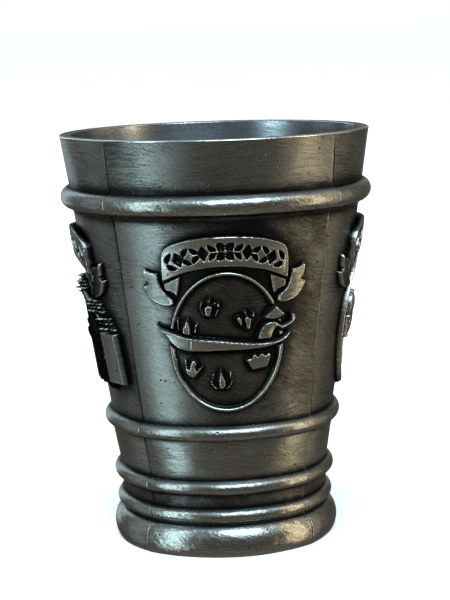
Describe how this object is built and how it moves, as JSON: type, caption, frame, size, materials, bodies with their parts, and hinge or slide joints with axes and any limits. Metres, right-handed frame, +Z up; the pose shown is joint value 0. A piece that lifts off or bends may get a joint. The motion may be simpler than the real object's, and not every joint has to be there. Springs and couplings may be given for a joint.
{
  "type": "shot glass",
  "caption": "Tapered souvenir shot glass in antique pewter finish: cast wall quarters with hoops, a drinking cup, a base disc and raised banners and badges.",
  "frame": {"origin": "centre of the standing face, on the axis of the cup", "axes": "+Z up along the axis of the cup, -Y towards the front badge, +X to the right of it"},
  "size_m": [0.0454, 0.0454, 0.06],
  "materials": {
    "wall_pewter": "antique pewter, darkened in the recesses and brushed back, satin",
    "relief_pewter": "antique pewter, dark in the recesses and rubbed bright on the edges",
    "cup_steel": "satin grey metal",
    "base_pewter": "dark cast pewter, matt"
  },
  "bodies": {
    "root": {"inner_cup": "cup_steel", "base_disc": "base_pewter", "wall_front": "wall_pewter", "wall_right": "wall_pewter", "wall_back": "wall_pewter", "wall_left": "wall_pewter", "banner_front": "relief_pewter", "banner_right": "relief_pewter", "banner_back": "relief_pewter", "banner_left": "relief_pewter", "badge_front": "relief_pewter", "badge_right": "relief_pewter", "badge_back": "relief_pewter", "badge_left": "relief_pewter"}
  },
  "joints": []
}
